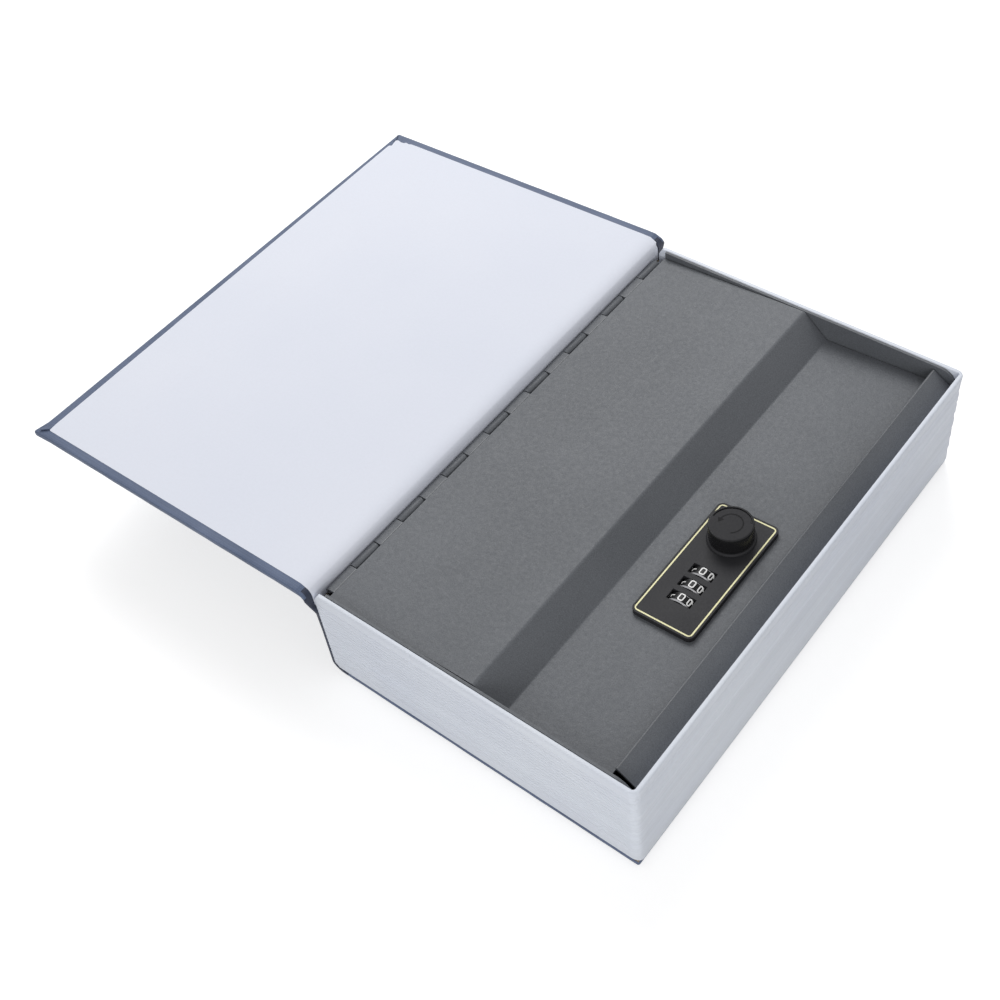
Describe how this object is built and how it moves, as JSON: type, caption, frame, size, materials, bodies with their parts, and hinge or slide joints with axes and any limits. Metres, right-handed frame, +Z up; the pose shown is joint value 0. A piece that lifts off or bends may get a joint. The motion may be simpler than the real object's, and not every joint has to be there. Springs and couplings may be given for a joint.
{
  "type": "book diversion safe",
  "caption": "Open hardback book with a steel cash box in its page block, closed by a hinged stepped lid with a combination lock.",
  "frame": {"origin": "on the table below the middle of the page block, on the back cover's rest face", "axes": "+X from the spine to the fore edge, +Y from the tail to the head, +Z up; metres"},
  "size_m": [0.309, 0.24, 0.0564],
  "materials": {
    "board": "matt grey-brown board",
    "cloth": "blue-grey book cloth with a fine weave",
    "endpaper": "matt pale endpaper",
    "pages": "satin off-white moulding grooved like page edges",
    "steel": "grey powder coat with fine orange peel",
    "lock_black": "satin charcoal",
    "gold": "bright pale gold line",
    "lock_case": "matt black moulding",
    "slider": "satin white moulding",
    "wheel_black": "gloss black with plain white numbers",
    "knob_black": "satin black, plain arrow on top",
    "brass": "turned brass",
    "zinc": "zinc-plated steel",
    "spring_steel": "bright spring strip"
  },
  "bodies": {
    "book": {"back_board": "board", "case_cloth": "cloth", "spine_board": "board", "page_block": "pages", "steel_box": "steel", "front_ledge": "steel", "box_rivets": "zinc", "hinge_pin": "zinc", "joint_cloth": "cloth", "gutter_paper": "endpaper"},
    "cover": {"front_board": "board", "front_cloth": "cloth", "front_endpaper": "endpaper"},
    "lid": {"lid_panel": "steel", "lock_plate": "lock_black", "gold_line": "gold", "knob_collar": "lock_black", "lock_body": "lock_case", "lock_back": "zinc", "lock_screws": "zinc", "wheel_axle": "zinc", "detent_spring": "spring_steel"},
    "lock_knob": {"knob": "knob_black", "spindle": "zinc", "cam": "zinc", "cam_washer": "zinc", "cam_nut": "zinc"},
    "wheel_1": {"dial_1": "wheel_black", "dial_sleeve_1": "brass"},
    "wheel_2": {"dial_2": "wheel_black", "dial_sleeve_2": "brass"},
    "wheel_3": {"dial_3": "wheel_black", "dial_sleeve_3": "brass"},
    "reset": {"reset_slider": "slider"}
  },
  "joints": [
    {"name": "cover_hinge", "type": "hinge", "parent": "book", "child": "cover", "pos_m": [-0.07875, 0, 0.05545], "axis": [0, 1, 0], "range_deg": [0, 181], "deforming": ["joint_cloth", "gutter_paper"]},
    {"name": "lid_hinge", "type": "hinge", "parent": "book", "child": "lid", "pos_m": [-0.0724, 0, 0.04859], "axis": [0, 1, 0], "range_deg": [-92, 0]},
    {"name": "knob_turn", "type": "hinge", "parent": "lid", "child": "lock_knob", "pos_m": [0.03867, -0.002, 0.04668], "axis": [0.0454, 0, -0.999], "range_deg": [0, 90]},
    {"name": "wheel_1_turn", "type": "hinge", "parent": "lid", "child": "wheel_1", "pos_m": [0.03893, -0.0219, 0.04099], "axis": [0, 1, 0], "continuous": true},
    {"name": "wheel_2_turn", "type": "hinge", "parent": "lid", "child": "wheel_2", "pos_m": [0.03893, -0.0291, 0.04099], "axis": [0, 1, 0], "continuous": true},
    {"name": "wheel_3_turn", "type": "hinge", "parent": "lid", "child": "wheel_3", "pos_m": [0.03893, -0.0363, 0.04099], "axis": [0, 1, 0], "continuous": true},
    {"name": "reset_slide", "type": "slide", "parent": "lid", "child": "reset", "axis": [0, 1, 0], "range_m": [0, 0.004]}
  ]
}
